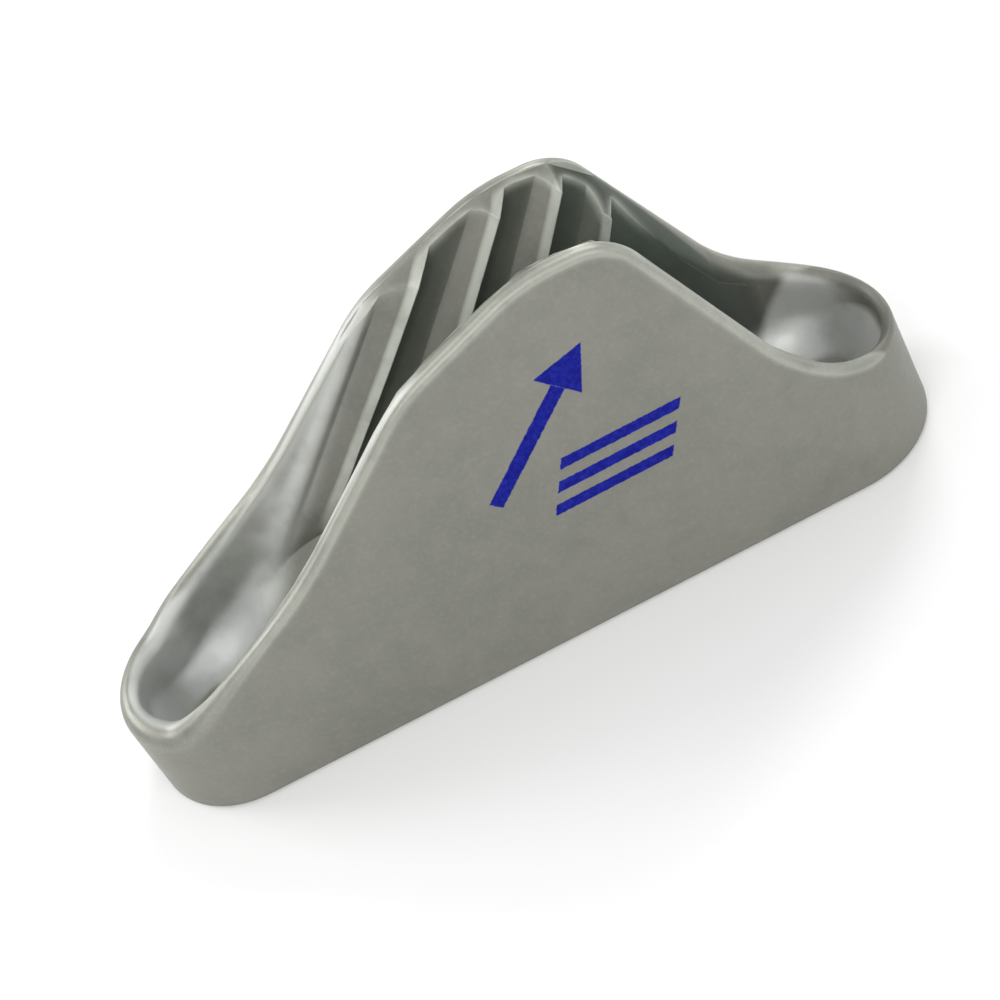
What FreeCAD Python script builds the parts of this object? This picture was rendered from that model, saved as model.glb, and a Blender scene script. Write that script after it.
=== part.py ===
import FreeCAD, Part
import math
import os
import Sketcher

# Jam cleat: one aluminium casting with an upright V throat, four leaning teeth on each
# wall, a spoon-shaped fairlead at each end and a screw hole in each spoon.
# Frame: X runs from the low nose to the tail, Z is up, the base lies in Z = 0 and the
# origin is the middle of the base. Lengths are millimetres and angles are degrees.

os.makedirs("parts", exist_ok=True)
doc = FreeCAD.newDocument("jam_cleat")
V = FreeCAD.Vector

# Driving sizes: alias, value, meaning.
SIZES = [
    ("screw_spacing", 52.0, "between the two screw centres"),
    ("end_length", 7.0, "screw centre to the end of the base"),
    ("body_width", 16.0, "width of the base"),
    ("wall_draft", 3.96, "lean of every outer wall, degrees"),
    ("nose_height", 8.35, "rim over the base at the nose"),
    ("tail_height", 9.05, "rim over the base at the tail"),
    ("ramp_offset", 2.6, "ramp foot, outward from the front screw"),
    ("ramp_x", -14.3, "bend in the front ramp"),
    ("ramp_height", 16.3, "height of that bend"),
    ("shoulder_x", -1.6, "shoulder under the crest"),
    ("shoulder_height", 26.9, "height of the shoulder"),
    ("crest_x", 9.1, "front corner of the crest"),
    ("crest_height", 30.85, "height of that corner"),
    ("brow_x", 15.5, "rear corner of the crest"),
    ("brow_drop", 0.35, "rear corner below the front one"),
    ("tail_offset", 0.3, "foot of the rear slope, inward from the rear screw"),
    ("ramp_foot_radius", 3.0, "rim rounding, foot of the ramp"),
    ("ramp_radius", 42.0, "rim rounding, bend of the ramp"),
    ("shoulder_radius", 14.0, "rim rounding, shoulder"),
    ("crest_radius", 12.0, "rim rounding, front of the crest"),
    ("brow_radius", 4.5, "rim rounding, rear of the crest"),
    ("tail_radius", 13.5, "rim rounding, foot of the rear slope"),
    ("rim_width", 1.45, "rim between outer wall and throat"),
    ("nose_wall", 1.65, "rim at the tip of the nose"),
    ("tail_wall", 0.85, "rim at the tip of the tail"),
    ("throat_slope", 0.1, "closing of each throat wall per mm of depth"),
    ("throat_floor", 9.5, "height of the floor in the middle of the throat"),
    ("wall_foot", 15.0, "height in the middle where the walls start to round into the floor"),
    ("ramp_start", 2.4, "front screw to the start of the front ramp, inward"),
    ("ramp_end", 16.5, "front screw to the top of the front ramp"),
    ("exit_start", 13.0, "rear screw to the top of the rear ramp"),
    ("exit_end", 2.6, "rear screw to the foot of the rear ramp, inward"),
    ("floor_radius", 9.0, "rounding of the floor line"),
    ("tooth_datum", 6.85, "depth under the crest at which tooth places are given"),
    ("first_ridge_x", -0.1, "first ridge at that depth"),
    ("tooth_pitch", 4.36, "ridge to ridge, square to the ridges"),
    ("tooth_depth", 1.3, "ridge over valley"),
    ("first_lean", 47.5, "lean of the first ridge from level, degrees"),
    ("lean_step", 3.7, "added lean of each next ridge, degrees"),
    ("lead_gap", 0.33, "start of the lead-in face before its soft ridge, at crest height"),
    ("lead_spread", 0.0837, "growth of that distance per mm of depth"),
    ("lead_least", 1.5, "least half width of the throat where the lead-in face starts"),
    ("soft_run", 3.4, "soft ridge of the lead-in before the first ridge"),
    ("valley_run", 2.65, "first valley before the first ridge"),
    ("soft_depth", 0.25, "soft ridge over valley"),
    ("tooth_fade", 6.0, "height over which the teeth run out into the floor"),
    ("drop_run", 0.35, "steep rear face of a tooth, along X"),
    ("valley_share", 0.57, "place of a valley between two ridges, from the front one"),
    ("lip_width", 0.45, "inner edge of the rim in the throat, rounded width"),
    ("tooth_top", 1.2, "height over which a tooth slopes off below the rim"),
    ("lip_run", 12.0, "length over which the lip of a spoon eases into the throat"),
    ("front_lip", 0.8, "inner edge of the rim round the front spoon, width"),
    ("front_lip_drop", 0.85, "height of that rounding"),
    ("rear_lip", 0.85, "inner edge of the rim round the rear spoon, width"),
    ("rear_lip_drop", 1.4, "height of that rounding"),
    ("tip_lip_drop", 0.5, "height of the rounding at the very tip of each spoon"),
    ("lip_bulge", 0.13, "fullness of the rounding at the spoons, share of its chord"),
    ("tooth_bulge", 0.05, "fullness of the tooth tops, share of their chord"),
    ("front_bowl_offset", 3.5, "front spoon's widest place, inward from the screw"),
    ("front_bowl_width", 11.0, "width of the front spoon"),
    ("front_floor", 2.1, "floor of the front spoon at the screw"),
    ("front_wall_foot", 8.0, "height where the front spoon's walls start to round into its floor"),
    ("front_tip_offset", 2.4, "front screw to the foot of the spoon's end, outward"),
    ("front_tip_rise", 1.6, "steepness of the front spoon's end"),
    ("rear_bowl_offset", 1.0, "rear spoon's widest place, inward from the screw"),
    ("rear_bowl_width", 11.1, "width of the rear spoon"),
    ("rear_floor", 3.5, "floor of the rear spoon at the screw"),
    ("rear_wall_foot", 8.2, "height where the rear spoon's walls start to round into its floor"),
    ("rear_tip_offset", 1.8, "rear screw to the foot of the spoon's end, outward"),
    ("rear_tip_rise", 1.2, "steepness of the rear spoon's end"),
    ("tip_radius", 4.0, "rounding between floor and end of each spoon"),
    ("hole_diameter", 5.0, "screw hole"),
    ("edge_round", 0.5, "outer edge of the rim"),
    ("nose_round", 1.2, "outer edge of the rim round the nose"),
    ("base_edge", 0.3, "bevel round the base"),
]
sheet = doc.addObject("Spreadsheet::Sheet", "sizes")
for row, (alias, value, meaning) in enumerate(SIZES, start=1):
    sheet.set("A%d" % row, meaning)
    sheet.set("B%d" % row, str(value))
    sheet.setAlias("B%d" % row, alias)
doc.recompute()


def size(alias):
    return float(sheet.get(alias))


TEETH = 4
draft = math.tan(math.radians(size("wall_draft")))
screw_x = size("screw_spacing") / 2
end_x = screw_x + size("end_length")
half_width = size("body_width") / 2
hole_r = size("hole_diameter") / 2


def origin_plane(body, role):
    for item in body.Origin.OriginFeatures:
        if item.Role == role:
            return item


def sketch_on(body, role, name, offset=0.0):
    sketch = body.newObject("Sketcher::SketchObject", name)
    sketch.AttachmentSupport = (origin_plane(body, role), [""])
    sketch.MapMode = "FlatFace"
    sketch.AttachmentOffset = FreeCAD.Placement(V(0, 0, offset), FreeCAD.Rotation())
    return sketch


def polygon(sketch, points):
    for a, b in zip(points, points[1:] + points[:1]):
        sketch.addGeometry(Part.LineSegment(V(a[0], a[1], 0), V(b[0], b[1], 0)))


def body_named(name):
    return doc.addObject("PartDesign::Body", name)


# Side outline of the rim: straight runs joined by tangent arcs.
rim_top = size("crest_height")
corners = [
    (-end_x - size("ramp_foot_radius"), size("nose_height"), 0),
    (-screw_x - size("ramp_offset"), size("nose_height"), size("ramp_foot_radius")),
    (size("ramp_x"), size("ramp_height"), size("ramp_radius")),
    (size("shoulder_x"), size("shoulder_height"), size("shoulder_radius")),
    (size("crest_x"), rim_top, size("crest_radius")),
    (size("brow_x"), rim_top - size("brow_drop"), size("brow_radius")),
    (screw_x - size("tail_offset"), size("tail_height"), size("tail_radius")),
    (end_x + size("tail_radius"), size("tail_height"), 0),
]


def tangent_runs(points):
    # Lines and arcs as (kind, start, end, centre, radius), from the first point on.
    runs = []
    here = V(points[0][0], points[0][1], 0)
    for before, corner, after in zip(points, points[1:], points[2:]):
        p = V(corner[0], corner[1], 0)
        back = V(before[0], before[1], 0) - p
        ahead = V(after[0], after[1], 0) - p
        half_angle = back.getAngle(ahead) / 2
        room = 0.49 * min(back.Length, ahead.Length)
        reach = min(corner[2] / math.tan(half_angle), room)
        radius = reach * math.tan(half_angle)
        back.normalize()
        ahead.normalize()
        start = p + back * reach
        end = p + ahead * reach
        middle = back + ahead
        middle.normalize()
        centre = p + middle * (radius / math.sin(half_angle))
        runs.append(("line", here, start, None, 0))
        runs.append(("arc", start, end, centre, radius))
        here = end
    runs.append(("line", here, V(points[-1][0], points[-1][1], 0), None, 0))
    return runs


rim_runs = tangent_runs(corners)


def add_runs(sketch, runs):
    for kind, start, end, centre, radius in runs:
        if kind == "line":
            sketch.addGeometry(Part.LineSegment(start, end))
        else:
            top = (start + end) * 0.5 - centre
            top.normalize()
            sketch.addGeometry(Part.Arc(start, centre + top * radius, end))


def height_on(runs, x):
    for kind, start, end, centre, radius in runs:
        if start.x <= x <= end.x and end.x > start.x:
            if kind == "line":
                share = (x - start.x) / (end.x - start.x)
                return start.y + share * (end.y - start.y)
            rise = math.sqrt(max(radius ** 2 - (x - centre.x) ** 2, 0))
            if (start.y + end.y) / 2 > centre.y:
                return centre.y + rise
            return centre.y - rise
    return runs[0][1].y if x < 0 else runs[-1][2].y


def rim_height(x):
    return height_on(rim_runs, x)


def half_ellipse(sketch, x, y, across, down, start, end):
    # Arc of the ellipse with half axes across and down, from angle start to angle end.
    middle = V(x, y, 0)
    if across >= down:
        ellipse = Part.Ellipse(V(x + across, y, 0), V(x, y + down, 0), middle)
        turn = 0.0
    else:
        ellipse = Part.Ellipse(V(x, y + down, 0), V(x - across, y, 0), middle)
        turn = math.pi / 2
    sketch.addGeometry(Part.ArcOfEllipse(ellipse, start - turn, end - turn))


def rim_half(x):
    # Half width of the throat at the rim.
    return half_width - draft * rim_height(x) - size("rim_width")


# Outer block: a round-ended base drawn up with draft, then cut to the rim outline.
block = body_named("outer_block")
plan = sketch_on(block, "XY_Plane", "base_outline")
arc_x = end_x - half_width
quarter = math.pi / 2
for side in (-1, 1):
    straight = (V(side * arc_x, side * half_width, 0), V(-side * arc_x, side * half_width, 0))
    end = Part.Circle(V(-side * arc_x, 0, 0), V(0, 0, 1), half_width)
    plan.addGeometry(Part.LineSegment(*straight))
    plan.addGeometry(Part.ArcOfCircle(end, side * quarter, (side + 2) * quarter))
plan.addConstraint(Sketcher.Constraint("Tangent", 0, 2, 1, 1))
plan.addConstraint(Sketcher.Constraint("Tangent", 1, 2, 2, 1))
plan.addConstraint(Sketcher.Constraint("Tangent", 2, 2, 3, 1))
plan.addConstraint(Sketcher.Constraint("Tangent", 3, 2, 0, 1))
plan.addConstraint(Sketcher.Constraint("Horizontal", 0))
plan.addConstraint(Sketcher.Constraint("Symmetric", 1, 3, 3, 3, -1, 1))
plan.addConstraint(Sketcher.Constraint("Radius", 1, half_width))
plan.renameConstraint(6, "end_radius")
plan.setExpression("Constraints.end_radius", "sizes.body_width / 2")
plan.addConstraint(Sketcher.Constraint("DistanceX", 3, 3, 1, 3, 2 * arc_x))
plan.renameConstraint(7, "centres")
plan.setExpression("Constraints.centres",
                   "sizes.screw_spacing + 2 * sizes.end_length - sizes.body_width")
pad = block.newObject("PartDesign::Pad", "drafted_block")
pad.Profile = plan
pad.setExpression("Length", "sizes.crest_height + 2")
pad.setExpression("TaperAngle", "-sizes.wall_draft")
plan.Visibility = False

above = sketch_on(block, "XZ_Plane", "above_the_rim")
add_runs(above, rim_runs)
sky = 1.25 * rim_top
first = rim_runs[0][1]
last = rim_runs[-1][2]
above.addGeometry(Part.LineSegment(last, V(last.x, sky, 0)))
above.addGeometry(Part.LineSegment(V(last.x, sky, 0), V(first.x, sky, 0)))
above.addGeometry(Part.LineSegment(V(first.x, sky, 0), first))
doc.recompute()
full_volume = pad.Shape.Volume
rim_cut = block.newObject("PartDesign::Pocket", "rim_outline_cut")
rim_cut.Profile = above
rim_cut.Type = "ThroughAll"
rim_cut.Midplane = True
doc.recompute()
if rim_cut.Shape.Volume > 0.8 * full_volume:
    raise RuntimeError("the rim outline cut nothing")


# Outer edges of the block: a bevel round the base, a rounded rim and a fuller nose.
def rim_round(x):
    # Fades from the nose rounding to the plain rim edge over the front ramp's foot.
    start = -screw_x - size("ramp_offset")
    share = min(max((x - start) / 9.0, 0), 1)
    share = share * share * (3 - 2 * share)
    return size("nose_round") + share * (size("edge_round") - size("nose_round"))


def base_edges(shape):
    flat = [number for number, edge in enumerate(shape.Edges, start=1)
            if edge.BoundBox.ZMax < 1e-3]
    return [(number, size("base_edge"), size("base_edge")) for number in flat]


def outer_edges(shape):
    chosen = []
    for number, edge in enumerate(shape.Edges, start=1):
        middle = edge.valueAt((edge.FirstParameter + edge.LastParameter) / 2)
        ends = (edge.valueAt(edge.FirstParameter), edge.valueAt(edge.LastParameter))
        on_rim = all(abs(p.z - rim_height(p.x)) < 0.01 for p in (middle,) + ends)
        crosses = abs(ends[0].y + ends[1].y) < 1e-6 and abs(ends[0].x - ends[1].x) < 1e-6
        if on_rim and not (crosses and abs(middle.y) < 1e-6 and abs(middle.x) < end_x - half_width):
            chosen.append((number, rim_round(ends[0].x), rim_round(ends[1].x)))
    return chosen


bevelled = doc.addObject("Part::Chamfer", "bevelled_block")
bevelled.Base = block
bevelled.Edges = base_edges(block.Shape)
doc.recompute()
rounded = doc.addObject("Part::Fillet", "rounded_block")
rounded.Base = bevelled
rounded.Edges = outer_edges(bevelled.Shape)
doc.recompute()


# Rope channel and both spoons: half-ellipse sections, with upright walls above.
front_x = -screw_x + size("front_bowl_offset")
rear_x = screw_x - size("rear_bowl_offset")
channel_end = end_x + 1


def channel_line(front, rear, middle):
    # Height of one line of the channel along X: down into each spoon and up at its end.
    front_foot = -screw_x - size("front_tip_offset")
    rear_foot = screw_x + size("rear_tip_offset")
    front_top = front + size("front_tip_rise") * (channel_end + 1 + front_foot)
    rear_top = rear + size("rear_tip_rise") * (channel_end + 1 - rear_foot)
    return tangent_runs([
        (-channel_end - 1, front_top, 0),
        (front_foot, front, size("tip_radius")),
        (-screw_x + size("ramp_start"), front, size("floor_radius")),
        (-screw_x + size("ramp_end"), middle, size("floor_radius")),
        (screw_x - size("exit_start"), middle, size("floor_radius")),
        (screw_x - size("exit_end"), rear, size("floor_radius")),
        (rear_foot, rear, size("tip_radius")),
        (channel_end + 1, rear_top, 0),
    ])


floor_line = channel_line(size("front_floor"), size("rear_floor"), size("throat_floor"))
shoulder_line = channel_line(size("front_wall_foot"), size("rear_wall_foot"), size("wall_foot"))


def channel_half(x, z):
    # Half width of the channel at height z.
    shoulder = height_on(shoulder_line, x)
    if z >= shoulder:
        return rim_half(x)
    drop = (shoulder - z) / (shoulder - height_on(floor_line, x))
    return rim_half(x) * math.sqrt(max(1 - drop * drop, 0))


def spread(count, start, end):
    return [start + n * (end - start) / (count - 1) for n in range(count)]


channel = body_named("channel_space")
sky = rim_top + 3
channel_sections = []
stations = spread(7, -channel_end, front_x)[:-1]
stations += spread(12, front_x, rear_x)[:-1] + spread(7, rear_x, channel_end)
for n, x in enumerate(stations):
    half = rim_half(x)
    shoulder = height_on(shoulder_line, x)
    bottom = height_on(floor_line, x)
    sketch = sketch_on(channel, "YZ_Plane", "channel_station_%02d" % n, x)
    half_ellipse(sketch, 0, shoulder, half, shoulder - bottom, math.pi, 2 * math.pi)
    sketch.addGeometry(Part.LineSegment(V(half, shoulder, 0), V(half, sky, 0)))
    sketch.addGeometry(Part.LineSegment(V(half, sky, 0), V(-half, sky, 0)))
    sketch.addGeometry(Part.LineSegment(V(-half, sky, 0), V(-half, shoulder, 0)))
    channel_sections.append(sketch)
channel_loft = channel.newObject("PartDesign::AdditiveLoft", "rope_channel")
channel_loft.Profile = channel_sections[0]
channel_loft.Sections = channel_sections[1:]
channel_loft.Ruled = False
doc.recompute()

# Plan outline of the hollow: a half ellipse round each screw and straight sides between.
front_tip_x = -end_x + draft * size("nose_height") + size("nose_wall")
rear_tip_x = end_x - draft * size("tail_height") - size("tail_wall")
front_half = size("front_bowl_width") / 2
rear_half = size("rear_bowl_width") / 2
plan_space = body_named("plan_space")
hollow_plan = sketch_on(plan_space, "XY_Plane", "hollow_outline")
half_ellipse(hollow_plan, front_x, 0, front_x - front_tip_x, front_half,
             math.pi / 2, 3 * math.pi / 2)
hollow_plan.addGeometry(Part.LineSegment(V(front_x, -front_half, 0), V(rear_x, -rear_half, 0)))
half_ellipse(hollow_plan, rear_x, 0, rear_tip_x - rear_x, rear_half, -math.pi / 2, math.pi / 2)
hollow_plan.addGeometry(Part.LineSegment(V(rear_x, rear_half, 0), V(front_x, front_half, 0)))
doc.recompute()
plan_pad = plan_space.newObject("PartDesign::Pad", "hollow_walls")
plan_pad.Profile = hollow_plan
plan_pad.setExpression("Length", "sizes.crest_height + 5")
doc.recompute()


# Toothed throat. Each line of the teeth leans towards the nose on its way down; a ridge
# stands tooth_depth out of the wall and a valley lies in it. Before the first tooth and
# after the last one the outline runs wide of the channel.
def line_x(datum_x, lean, z):
    return datum_x + (z - rim_top + size("tooth_datum")) / math.tan(math.radians(lean))


def wall_half(x, z):
    return rim_half(x) - size("throat_slope") * (rim_height(x) - z)


leans = [size("first_lean") + n * size("lean_step") for n in range(TEETH)]
ridges = [size("first_ridge_x")]
for lean, lean_after in zip(leans, leans[1:]):
    step = size("tooth_pitch") / math.sin(math.radians((lean + lean_after) / 2))
    ridges.append(ridges[-1] + step)

# The lead-in face starts on the channel wall, rises to a soft ridge and ends in the
# first valley; then the toothed run begins.
LINES = [
    (ridges[0] - size("soft_run"), leans[0], size("soft_depth")),
    (ridges[0] - size("valley_run"), leans[0], 0.0),
]
for n in range(TEETH):
    LINES.append((ridges[n], leans[n], size("tooth_depth")))
    LINES.append((ridges[n] + size("drop_run"), leans[n], 0.0))
    if n + 1 < TEETH:
        valley_lean = (leans[n] + leans[n + 1]) / 2
        valley = ridges[n] + size("valley_share") * (ridges[n + 1] - ridges[n])
        LINES.append((valley, valley_lean, 0.0))


def throat_section(z):
    wide = half_width + 1
    share = min(max((z - size("throat_floor") + 1) / size("tooth_fade"), 0), 1)
    share = share * share * (3 - 2 * share)
    side = []
    for datum_x, lean, stand in LINES:
        x = line_x(datum_x, lean, z)
        side.append((x, max(wall_half(x, z) - stand * share, 0.1)))
    # The lead-in face starts on the channel wall.
    lead_x = side[0][0] - size("lead_gap") - size("lead_spread") * (rim_top - z)
    side.insert(0, (lead_x, max(channel_half(lead_x, z), size("lead_least"))))
    side.insert(0, (-end_x - 4, wide))
    last_x, last_y = side[-1]
    rise = (size("rear_bowl_width") / 2 - last_y) / (rear_x - last_x)
    side.append((end_x + 4, last_y + rise * (end_x + 4 - last_x)))
    return side + [(x, -y) for x, y in reversed(side)]


throat = body_named("throat_space")
throat_low = size("front_floor") - 0.5
levels = [throat_low + n * (rim_top + 1.5 - throat_low) / 8 for n in range(9)]
sections = []
for n, z in enumerate(levels):
    sketch = sketch_on(throat, "XY_Plane", "throat_level_%d" % n, z)
    polygon(sketch, throat_section(z))
    sections.append(sketch)
loft = throat.newObject("PartDesign::AdditiveLoft", "toothed_throat")
loft.Profile = sections[0]
loft.Sections = sections[1:]
loft.Ruled = False
doc.recompute()
spooned = doc.addObject("Part::Common", "spooned_channel")
spooned.Base = channel
spooned.Tool = plan_space
hollow = doc.addObject("Part::Common", "rope_space")
hollow.Base = spooned
hollow.Tool = throat
doc.recompute()

# Rounded inner edge of the rim: it brings the tooth tops back to the rim in the throat
# and runs round both spoons. One profile: inner edge, width and height of the rounding.
def straight_half(x):
    share = (x - front_x) / (rear_x - front_x)
    return front_half + share * (rear_half - front_half)


def lip_at(x):
    near_front = x - front_x < rear_x - x
    reach = min(x - front_x, rear_x - x) / size("lip_run")
    share = min(max(reach, 0), 1)
    share = share * share * (3 - 2 * share)
    width = size("front_lip") if near_front else size("rear_lip")
    drop = size("front_lip_drop") if near_front else size("rear_lip_drop")
    across = width + share * (size("tooth_depth") + size("lip_width") - width)
    inner = min(rim_half(x), straight_half(x)) - share * size("tooth_depth")
    down = drop + share * (size("tooth_top") - drop)
    bulge = size("lip_bulge") + share * (size("tooth_bulge") - size("lip_bulge"))
    return inner, across, down, bulge


def bulged(sketch, start, end, side, bulge):
    # Arc from start to end that stands off its chord by bulge times the chord.
    chord = end - start
    away = V(-chord.y, chord.x, 0) * side
    sketch.addGeometry(Part.Arc(start, (start + end) * 0.5 + away * bulge, end))


def lip_section(sketch, lip, level, both):
    inner, across, down, bulge = lip
    inner -= 0.05
    across += 0.05
    low = level - down
    edge = inner + across
    left = -inner if both else inner - 0.6
    left_edge = -edge if both else left
    sketch.addGeometry(Part.LineSegment(V(left, low, 0), V(inner, low, 0)))
    bulged(sketch, V(inner, low, 0), V(edge, level, 0), 1, bulge)
    sketch.addGeometry(Part.LineSegment(V(edge, level, 0), V(edge, level + 1, 0)))
    sketch.addGeometry(Part.LineSegment(V(edge, level + 1, 0), V(left_edge, level + 1, 0)))
    if both:
        sketch.addGeometry(Part.LineSegment(V(-edge, level + 1, 0), V(-edge, level, 0)))
        bulged(sketch, V(-edge, level, 0), V(-inner, low, 0), 1, bulge)
    else:
        sketch.addGeometry(Part.LineSegment(V(left, level + 1, 0), V(left, low, 0)))


bevel = body_named("rim_round_space")
bevel_sections = []
for n, x in enumerate([front_x - 0.4] + spread(19, front_x, rear_x) + [rear_x + 0.4]):
    rise = (rim_height(x + 0.3) - rim_height(x - 0.3)) / 0.6
    inner, across, down, bulge = lip_at(x)
    if x < front_x or x > rear_x:
        # The ends run out inside the rounding of the spoons.
        across *= 0.6
        down *= 0.6
    sketch = sketch_on(bevel, "YZ_Plane", "round_station_%02d" % n, x)
    lip = (inner, across, down * math.sqrt(1 + rise * rise), bulge)
    lip_section(sketch, lip, rim_height(x), True)
    bevel_sections.append(sketch)
bevel_loft = bevel.newObject("PartDesign::AdditiveLoft", "rim_rounding")
bevel_loft.Profile = bevel_sections[0]
bevel_loft.Sections = bevel_sections[1:]
bevel_loft.Ruled = True
doc.recompute()


# The same rounding carried round the end of a spoon, in upright planes through its middle.
def spoon_lip(name, side, centre_x, half, tip_x, width, drop):
    body = body_named(name)
    lip_sections = []
    long_half = abs(tip_x - centre_x)
    for n, angle in enumerate(spread(17, -90, 90)):
        turn = math.radians(angle)
        reach = 1 / math.hypot(math.cos(turn) / long_half, math.sin(turn) / half)
        along = math.cos(turn)
        edge_x = centre_x + side * (reach + width) * along
        rise = (rim_height(edge_x + 0.3) - rim_height(edge_x - 0.3)) / 0.6
        sketch = sketch_on(body, "XY_Plane", "%s_%d" % (name, n))
        heading = angle if side > 0 else 180 - angle
        upright = FreeCAD.Rotation(V(1, 0, 0), 90)
        around = FreeCAD.Rotation(V(0, 0, 1), heading)
        sketch.AttachmentOffset = FreeCAD.Placement(V(centre_x, 0, 0), around * upright)
        fall = size("tip_lip_drop") + abs(math.sin(turn)) * (drop - size("tip_lip_drop"))
        lip = (reach, width, fall * math.sqrt(1 + rise * rise), size("lip_bulge"))
        lip_section(sketch, lip, rim_height(edge_x), False)
        lip_sections.append(sketch)
    lip_loft = body.newObject("PartDesign::AdditiveLoft", name + "_rounding")
    lip_loft.Profile = lip_sections[0]
    lip_loft.Sections = lip_sections[1:]
    lip_loft.Ruled = False
    doc.recompute()
    return body


lips = [
    spoon_lip("front_spoon_lip", -1, front_x, front_half, front_tip_x,
              size("front_lip"), size("front_lip_drop")),
    spoon_lip("rear_spoon_lip", 1, rear_x, rear_half, rear_tip_x,
              size("rear_lip"), size("rear_lip_drop")),
]

# Screw holes.
drills = []
for name, side in (("front_hole", -1), ("rear_hole", 1)):
    drill = doc.addObject("Part::Cylinder", name)
    drill.setExpression("Radius", "sizes.hole_diameter / 2")
    drill.setExpression("Placement.Base.x", "%d * sizes.screw_spacing / 2" % side)
    drill.setExpression("Height", "sizes.nose_height")
    drill.Placement.Base.z = -1
    drills.append(drill)
doc.recompute()

node = rounded
cuts = [("channel_cut", hollow), ("rim_lip_cut", bevel)]
cuts += [("%s_cut" % lip.Name, lip) for lip in lips]
cuts += [("%s_cut" % drill.Name, drill) for drill in drills]
for name, tool in cuts:
    cut = doc.addObject("Part::Cut", name)
    cut.Base = node
    cut.Tool = tool
    doc.recompute()
    node = cut
node.Label = "cleat_body"

# Checks before anything is written.
if node.Shape.Volume < 0.5 * rounded.Shape.Volume:
    raise RuntimeError("a cut took the body away")
doc.recompute()
for item in doc.Objects:
    if "Invalid" in item.State or "Error" in item.State:
        raise RuntimeError("%s failed: %s" % (item.Name, item.State))
shape = node.Shape
if shape.isNull() or not shape.isValid() or len(shape.Solids) != 1:
    raise RuntimeError("cleat_body is not one valid solid")
print("cleat_body volume", round(shape.Volume, 1), "box", shape.BoundBox)
shape.exportStep("parts/%s.step" % node.Label)
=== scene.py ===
import bpy
import math
from mathutils import Matrix, Vector

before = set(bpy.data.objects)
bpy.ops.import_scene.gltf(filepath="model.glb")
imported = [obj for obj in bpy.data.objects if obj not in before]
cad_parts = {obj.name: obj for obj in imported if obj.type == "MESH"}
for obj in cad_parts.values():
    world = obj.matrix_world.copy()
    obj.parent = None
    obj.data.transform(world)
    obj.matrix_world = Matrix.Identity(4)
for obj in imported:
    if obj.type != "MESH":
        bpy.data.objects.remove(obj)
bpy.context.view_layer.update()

scene = bpy.context.scene
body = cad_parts["cleat_body"]
MM = 0.001
WHITE = (1, 1, 1, 1)


class Tree:
    # A node tree, with short ways to add and join its nodes.
    def __init__(self, node_tree):
        self.nodes = node_tree.nodes
        self.links = node_tree.links

    def node(self, kind, **settings):
        made = self.nodes.new(kind)
        for name, value in settings.items():
            setattr(made, name, value)
        return made

    def feed(self, socket, value):
        if isinstance(value, bpy.types.NodeSocket):
            self.links.new(value, socket)
        else:
            socket.default_value = value

    def feed_named(self, node, **values):
        # Underscores in a name stand for the spaces in the socket's name.
        for name, value in values.items():
            self.feed(node.inputs[name.replace("_", " ")], value)

    def math(self, operation, a, b=0.0, clamp=False):
        made = self.node("ShaderNodeMath", operation=operation, use_clamp=clamp)
        self.feed(made.inputs[0], a)
        self.feed(made.inputs[1], b)
        return made.outputs[0]

    def plus(self, a, b, clamp=False):
        return self.math("ADD", a, b, clamp)

    def minus(self, a, b):
        return self.math("SUBTRACT", a, b)

    def times(self, product, *factors):
        for factor in factors:
            product = self.math("MULTIPLY", product, factor)
        return product

    def size_of(self, value):
        return self.math("ABSOLUTE", value)

    def ramp(self, value, border, to_low=0.0, to_high=1.0):
        # Smooth step from to_low at the border's start to to_high at its end.
        made = self.node("ShaderNodeMapRange", interpolation_type="SMOOTHSTEP")
        for socket, item in zip(made.inputs, (value, *border, to_low, to_high)):
            self.feed(socket, item)
        return made.outputs[0]

    def noise(self, vector, scale, detail, roughness=0.5):
        made = self.node("ShaderNodeTexNoise")
        self.feed_named(made, Vector=vector, Scale=scale, Detail=detail, Roughness=roughness)
        return made.outputs["Fac"]

    def occlusion(self, distance, inside):
        made = self.node("ShaderNodeAmbientOcclusion", samples=4, inside=inside, only_local=True)
        self.feed_named(made, Distance=distance)
        return made.outputs["AO"]

    def bevel(self, radius, samples):
        made = self.node("ShaderNodeBevel", samples=samples)
        self.feed_named(made, Radius=radius)
        return made.outputs["Normal"]

    def bump(self, height, normal, strength, distance):
        made = self.node("ShaderNodeBump")
        self.feed_named(made, Height=height, Normal=normal, Strength=strength, Distance=distance)
        return made.outputs["Normal"]

    def split(self, vector):
        made = self.node("ShaderNodeSeparateXYZ")
        self.feed(made.inputs[0], vector)
        return made.outputs

    def mix(self, share, a, b):
        # The colour mix has its share in socket 0, its colours in 6 and 7.
        made = self.node("ShaderNodeMix", data_type="RGBA")
        for place, value in ((0, share), (6, a), (7, b)):
            self.feed(made.inputs[place], value)
        return made.outputs[2]


def new_material(name):
    material = bpy.data.materials.new(name)
    material.use_nodes = True
    return material, Tree(material.node_tree), material.node_tree.nodes["Principled BSDF"]


# Cast aluminium: satin grey with a faint olive cast. Three tints of painted light,
# set by trial to match the photograph's tones, are painted on: painted highlights on
# edges, painted highlights in the spoons and on the lead-in face, and dark, greenish
# painted shade on the throat's walls and valleys. They stand for no known wear or dirt.
# The near side has a blue print.
SKIN_DARK = (0.205, 0.208, 0.178, 1)
SKIN_PALE = (0.242, 0.242, 0.210, 1)
SPECK = (0.33, 0.33, 0.30, 1)
SPECK_SHARE = 0.22
# Painted shade for the throat's walls, valleys and crevices.
THROAT_SHADE_TINT = (0.056, 0.077, 0.060, 1)
# Painted highlights for the spoons and the lead-in face.
NOSE_HIGHLIGHT_TINT = (0.52, 0.535, 0.52, 1)
REST_HIGHLIGHT_TINT = (0.68, 0.69, 0.67, 1)
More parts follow.
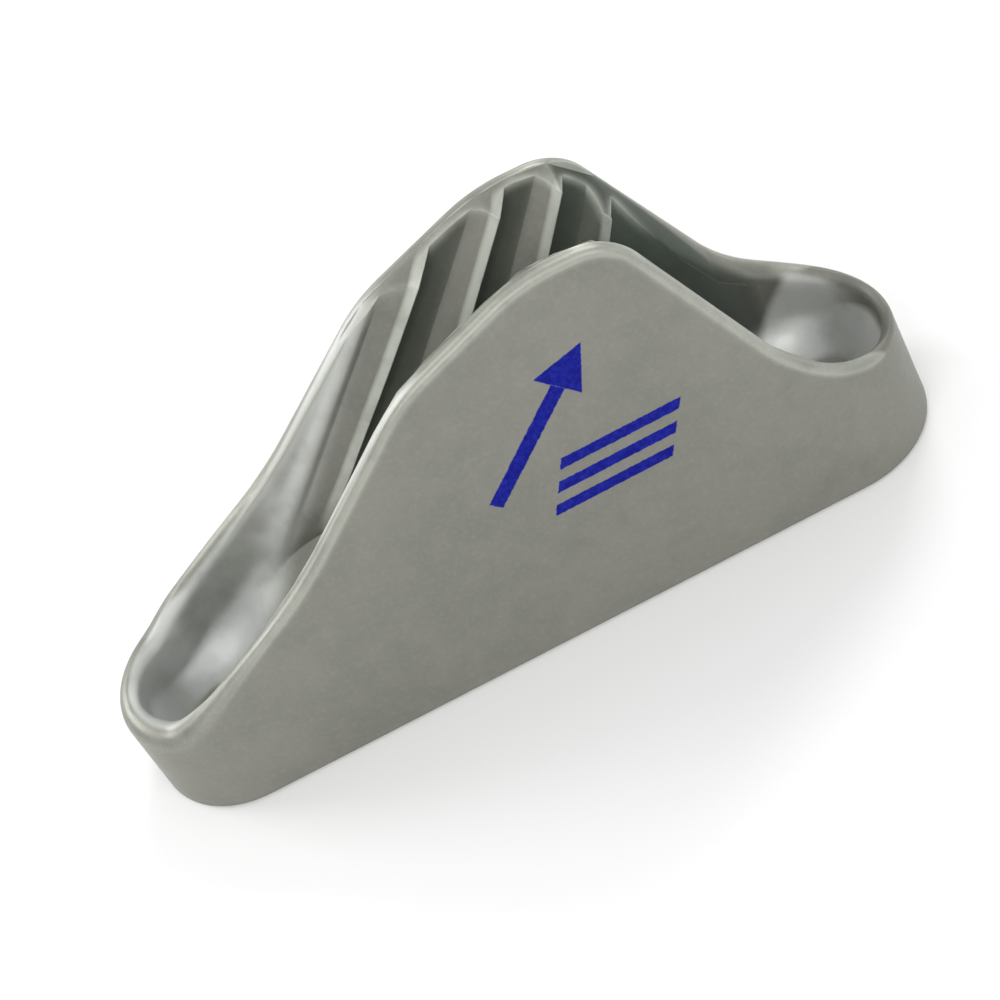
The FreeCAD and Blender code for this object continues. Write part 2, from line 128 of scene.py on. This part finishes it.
# Painted highlights for outer edges and ridges.
EDGE_HIGHLIGHT_TINT = (0.58, 0.60, 0.53, 1)
INK_DARK = (0.003, 0.006, 0.19, 1)
INK_PALE = (0.012, 0.018, 0.29, 1)

# Features of each noise in a metre.
CLOUDS_SCALE = 90
MOTTLE_SCALE = 520
GRAIN_SCALE = 2600
INK_EDGE_SCALE = 3200

metal_material, metal, metal_shader = new_material("satin_cast_aluminium")
coords = metal.node("ShaderNodeTexCoord").outputs["Object"]
clouds = metal.noise(coords, CLOUDS_SCALE, 3.0)
grain = metal.noise(coords, GRAIN_SCALE, 4.0, 0.65)
mottle = metal.noise(coords, MOTTLE_SCALE, 3.0, 0.6)
tone = metal.plus(metal.times(clouds, 0.5), metal.times(mottle, 0.5))
skin = metal.mix(metal.ramp(tone, (0.35, 0.65)), SKIN_DARK, SKIN_PALE)
speck = metal.times(metal.ramp(grain, (0.45, 0.72)), SPECK_SHARE)
skin = metal.mix(speck, skin, SPECK)

# The part's own coordinates in millimetres, and the way a softened surface faces.
in_mm = metal.node("ShaderNodeVectorMath", operation="SCALE")
metal.feed(in_mm.inputs[0], coords)
metal.feed_named(in_mm, Scale=1 / MM)
x, y, z = metal.split(in_mm.outputs[0])
half_y = metal.size_of(y)
facing_x, _, facing_z = metal.split(metal.bevel(1.3 * MM, 3))

# Masks. A border runs from where its mask is nought to where it is full, in
# millimetres; the two slants are how far a spoon's border moves on for each
# millimetre of height.
SCREW_X = 26.0
TIP_STRETCH = 1.1
INSIDE_RIM = (6.0, 5.5)
WALL_INSIDE = (5.7, 5.3)
FRONT_SLANT, FRONT_BORDER = 0.863, (-22.8, -25.6)
REAR_SLANT, REAR_BORDER = 0.8, (17.9, 19.3)
THROAT_START = (-9.0, -5.0)
THROAT_FLOOR = (6.0, 8.0)
REAR_RIBS = (13.0, 15.5)
TAIL_FLARE = (20.5, 23.5)
REAR_WALL = (18.0, 19.5)
NOSE_TIP = (-27.5, -25.0)
RAMP_TOP = (-14.0, -18.0)
NOSE_SPOON = (-23.0, -16.0)
BASE_BEVEL = (0.5, 1.5)

past_screw = metal.math("MAXIMUM", metal.minus(metal.size_of(x), SCREW_X), 0.0)
past_screw = metal.times(past_screw, TIP_STRETCH)
from_middle = metal.plus(metal.math("POWER", past_screw, 2.0), metal.math("POWER", half_y, 2.0))
inner = metal.ramp(metal.math("SQRT", from_middle), INSIDE_RIM)
front_spoon = metal.ramp(metal.minus(x, metal.times(z, FRONT_SLANT)), FRONT_BORDER)
rear_spoon = metal.ramp(metal.minus(x, metal.times(z, REAR_SLANT)), REAR_BORDER)
spoons = metal.times(metal.plus(front_spoon, rear_spoon, clamp=True), inner)

# Painted shade: a dark greenish colour on the throat's walls and valleys, and in the
# crevices that ambient occlusion finds. It leaves the ribs' rising faces, which face
# the light, unshaded, the last ones only in part.
DARK_SHARE = 0.86
LAST_RIBS_BARE = 0.4
FLARE_SHARE = 0.75
rising = metal.ramp(facing_x, (0.15, -0.35))
bare = metal.times(rising, metal.ramp(x, REAR_RIBS, DARK_SHARE, LAST_RIBS_BARE))
throat_shade_mask = metal.times(
    metal.minus(DARK_SHARE, bare),
    metal.ramp(half_y, WALL_INSIDE),
    inner,
    metal.ramp(x, TAIL_FLARE, 1.0, FLARE_SHARE),
    metal.ramp(facing_z, (0.7, 0.5)),
    metal.ramp(x, THROAT_START),
    metal.ramp(z, THROAT_FLOOR),
)
crevice_shade = metal.ramp(metal.occlusion(4.0 * MM, False), (0.5, 0.1), 0.0, 0.5)
painted_shade = metal.times(metal.math("MAXIMUM", crevice_shade, throat_shade_mask), metal.minus(1.0, spoons))
skin = metal.mix(painted_shade, skin, THROAT_SHADE_TINT)

# Painted highlight: a pale tint in the spoons and on the lead-in face. It is weaker on
# the steep wall under the nose's rim.
under_rim = metal.times(
    metal.ramp(facing_z, (0.26, 0.0), 0.0, 0.6),
    metal.ramp(x, NOSE_TIP),
    metal.ramp(x, RAMP_TOP),
)
spoon_highlight_mask = metal.times(
    spoons,
    metal.ramp(mottle, (0.2, 0.6), 0.75, 0.95),
    metal.minus(1.0, under_rim),
)
spoon_highlight_tint = metal.mix(metal.ramp(x, NOSE_SPOON), NOSE_HIGHLIGHT_TINT, REST_HIGHLIGHT_TINT)
skin = metal.mix(spoon_highlight_mask, skin, spoon_highlight_tint)

# Painted highlight: a pale tint on outer edges and ridges, where the inside occlusion
# finds an edge. It leaves out the base and the wall behind the ribs.
rear_wall = metal.times(metal.ramp(x, REAR_WALL), metal.ramp(half_y, WALL_INSIDE))
edge_highlight_mask = metal.times(
    metal.ramp(metal.occlusion(0.8 * MM, True), (0.96, 0.76), 0.0, 0.85),
    metal.ramp(z, BASE_BEVEL),
    metal.ramp(mottle, (0.25, 0.6), 0.75, 1.0),
    metal.minus(1.0, rear_wall),
)
skin = metal.mix(edge_highlight_mask, skin, EDGE_HIGHLIGHT_TINT)

# Print: a plain arrow along the rope's path and three plain slanted bars. Places
# are (x, z) on the near side in millimetres, the arrow's sizes (length, half width)
# and the bars' (half length, half width).
ARROW_TAIL = (0.6, 15.2)
ARROW_TURN = math.radians(42)
SHAFT_LENGTH, SHAFT_HALF = 10.2, 0.55
HEAD_LENGTH, HEAD_HALF = 3.6, 1.9
BARS_X = 9.6
BARS_Z = (15.9, 14.1, 12.3)
BAR_HALF = (4.6, 0.45)
BAR_SLANT = 0.5
INK_RAGGED = 0.16
INK_BORDER = (0.04, -0.04)
NEAR_SIDE = (-5.55, -5.65)


def outside_box(u, v, centre, half):
    # Distance outside a rectangle, measured along its sides.
    off_u = metal.minus(metal.size_of(metal.minus(u, centre[0])), half[0])
    off_v = metal.minus(metal.size_of(metal.minus(v, centre[1])), half[1])
    return metal.math("MAXIMUM", off_u, off_v)


tail_x = metal.minus(x, ARROW_TAIL[0])
tail_z = metal.minus(z, ARROW_TAIL[1])
turn_x = math.cos(ARROW_TURN)
turn_z = math.sin(ARROW_TURN)
along = metal.plus(metal.times(tail_x, turn_x), metal.times(tail_z, turn_z))
across = metal.minus(metal.times(tail_z, turn_x), metal.times(tail_x, turn_z))
shaft = outside_box(along, across, (SHAFT_LENGTH / 2, 0), (SHAFT_LENGTH / 2, SHAFT_HALF))
to_tip = metal.minus(SHAFT_LENGTH + HEAD_LENGTH, along)
slope = metal.minus(metal.size_of(across), metal.times(to_tip, HEAD_HALF / HEAD_LENGTH))
head = metal.math("MAXIMUM", slope, metal.minus(SHAFT_LENGTH, along))
mark = metal.math("MINIMUM", shaft, head)
slanted = metal.minus(x, metal.times(metal.minus(z, BARS_Z[1]), BAR_SLANT))
for bar_z in BARS_Z:
    mark = metal.math("MINIMUM", mark, outside_box(slanted, z, (BARS_X, bar_z), BAR_HALF))
wander = metal.minus(metal.noise(coords, INK_EDGE_SCALE, 2.0), 0.5)
ragged = metal.plus(mark, metal.times(wander, INK_RAGGED))
printed = metal.times(metal.ramp(ragged, INK_BORDER), metal.ramp(y, NEAR_SIDE))
ink = metal.mix(metal.ramp(grain, (0.35, 0.7)), INK_DARK, INK_PALE)

# Polish of the bare metal and of the print.
UNPRINTED = (0.0, 1.0)
METAL_SHARE = 0.5
METAL_GLOSS, INK_GLOSS = 0.5, 0.08
SATIN = (0.40, 0.50)
INK_ROUGHER = 0.1
satin = metal.ramp(mottle, (0.3, 0.7), *SATIN)
metal.feed_named(
    metal_shader,
    Base_Color=metal.mix(printed, skin, ink),
    Metallic=metal.ramp(printed, UNPRINTED, METAL_SHARE, 0.0),
    Specular_IOR_Level=metal.ramp(printed, UNPRINTED, METAL_GLOSS, INK_GLOSS),
    Roughness=metal.plus(satin, metal.times(printed, INK_ROUGHER)),
)

# Rounded edges, rounder in the spoons, with a cast surface's waves and grain.
EDGE_RADIUS, SPOON_RADIUS = 0.12 * MM, 1.1 * MM
edge_normal = metal.bevel(metal.ramp(spoons, UNPRINTED, EDGE_RADIUS, SPOON_RADIUS), 4)
wavy = metal.bump(mottle, edge_normal, 0.3, 0.05 * MM)
metal.feed_named(metal_shader, Normal=metal.bump(grain, wavy, 0.35, 0.02 * MM))
body.data.materials.clear()
body.data.materials.append(metal_material)

# Soft shading over the roundings, creases kept.
CREASE_ANGLE = math.radians(24)
FLAT_FACE_WEIGHT = 60
weld = body.modifiers.new("joined_faces", "WELD")
weld.merge_threshold = 0.001 * MM
smoothing = bpy.data.node_groups.new("smooth_by_angle", "GeometryNodeTree")
smoothing.interface.new_socket("Geometry", in_out="INPUT", socket_type="NodeSocketGeometry")
smoothing.interface.new_socket("Geometry", in_out="OUTPUT", socket_type="NodeSocketGeometry")
shading = Tree(smoothing)
faces = shading.node("GeometryNodeSetShadeSmooth")
edges = shading.node("GeometryNodeSetShadeSmooth", domain="EDGE")
soft = shading.node("FunctionNodeCompare", operation="LESS_EQUAL")
shading.feed(soft.inputs[0], shading.node("GeometryNodeInputMeshEdgeAngle").outputs[0])
shading.feed(soft.inputs[1], CREASE_ANGLE)
shading.feed(faces.inputs[0], shading.node("NodeGroupInput").outputs[0])
shading.feed(edges.inputs[0], faces.outputs[0])
shading.feed_named(edges, Shade_Smooth=soft.outputs[0])
shading.feed(shading.node("NodeGroupOutput").inputs[0], edges.outputs[0])
by_angle = body.modifiers.new("smooth_by_angle", "NODES")
by_angle.node_group = smoothing
weighted = body.modifiers.new("flat_faces_stay_flat", "WEIGHTED_NORMAL")
weighted.keep_sharp = True
weighted.weight = FLAT_FACE_WEIGHT

# Stage: a white floor.
FLOOR_SIDE = 6
bpy.ops.mesh.primitive_plane_add(size=FLOOR_SIDE, location=(0, 0, 0))
floor = bpy.context.object
floor.name = "floor"
paper_material, paper, paper_shader = new_material("white_paper")
paper.feed_named(paper_shader, Base_Color=(0.95, 0.95, 0.95, 1), Roughness=0.9)
floor.data.materials.append(paper_material)

# The surround is dimmer towards the horizon, as under a large overhead diffuser, and
# white where the camera sees it.
GLOW_RISE = (-0.05, 0.85)
HORIZON_GLOW, OVERHEAD_GLOW = 0.35, 0.7
world = bpy.data.worlds.new("studio")
scene.world = world
world.use_nodes = True
sky = Tree(world.node_tree)
upward = sky.split(sky.node("ShaderNodeTexCoord").outputs["Generated"])[2]
glow = sky.ramp(upward, GLOW_RISE, HORIZON_GLOW, OVERHEAD_GLOW)
seen = sky.node("ShaderNodeLightPath").outputs["Is Camera Ray"]
sky.feed_named(sky.nodes["Background"], Color=sky.mix(seen, glow, WHITE))

# Camera, in degrees, metres and pixels as fitted to the photograph.
AZIMUTH, ELEVATION, ROLL = 4.521, 44.409, 30.662
TARGET = Vector((0.000503, 0, 0.008773))
CAMERA_DISTANCE = 0.134938
FOCAL_PIXELS = 1814.635
PICTURE_PIXELS = 1000
SENSOR_WIDTH = 36


def camera_axes(azimuth, elevation, roll):
    a, e, r = (math.radians(v) for v in (azimuth, elevation, roll))
    back = Vector((math.sin(a) * math.cos(e), -math.cos(a) * math.cos(e), math.sin(e)))
    right = Vector((math.cos(a), math.sin(a), 0))
    up = back.cross(right)
    rolled_right = right * math.cos(r) - up * math.sin(r)
    rolled_up = right * math.sin(r) + up * math.cos(r)
    return rolled_right, rolled_up, back


axes = camera_axes(AZIMUTH, ELEVATION, ROLL)
turned = Matrix(axes).transposed().to_4x4()
camera_data = bpy.data.cameras.new("camera")
camera = bpy.data.objects.new("camera", camera_data)
scene.collection.objects.link(camera)
camera.matrix_world = Matrix.Translation(TARGET + axes[2] * CAMERA_DISTANCE) @ turned
camera_data.sensor_width = SENSOR_WIDTH
camera_data.lens = FOCAL_PIXELS / PICTURE_PIXELS * SENSOR_WIDTH
camera_data.clip_start = 0.01
camera_data.clip_end = 20
scene.camera = camera

# Lamps: name, direction from the cleat in the row frame, side in metres, power.
LAMP_DISTANCE = 0.45
LAMPS = [
    ("left_rear_lamp", (-0.71, 0.52, 0.46), 0.18, 0.6),
    ("right_rear_lamp", (0.35, 0.66, 0.66), 0.16, 0.6),
    ("left_front_lamp", (-0.46, -0.66, 0.58), 0.26, 0.62),
    ("right_front_lamp", (0.38, -0.70, 0.60), 0.20, 0.42),
]
for name, direction, side, power in LAMPS:
    data = bpy.data.lights.new(name, "AREA")
    data.size = side
    data.energy = power
    lamp = bpy.data.objects.new(name, data)
    scene.collection.objects.link(lamp)
    aim = Vector(direction).normalized()
    lamp.location = TARGET + aim * LAMP_DISTANCE
    lamp.rotation_euler = aim.to_track_quat("Z", "Y").to_euler()

scene.view_settings.view_transform = "Standard"
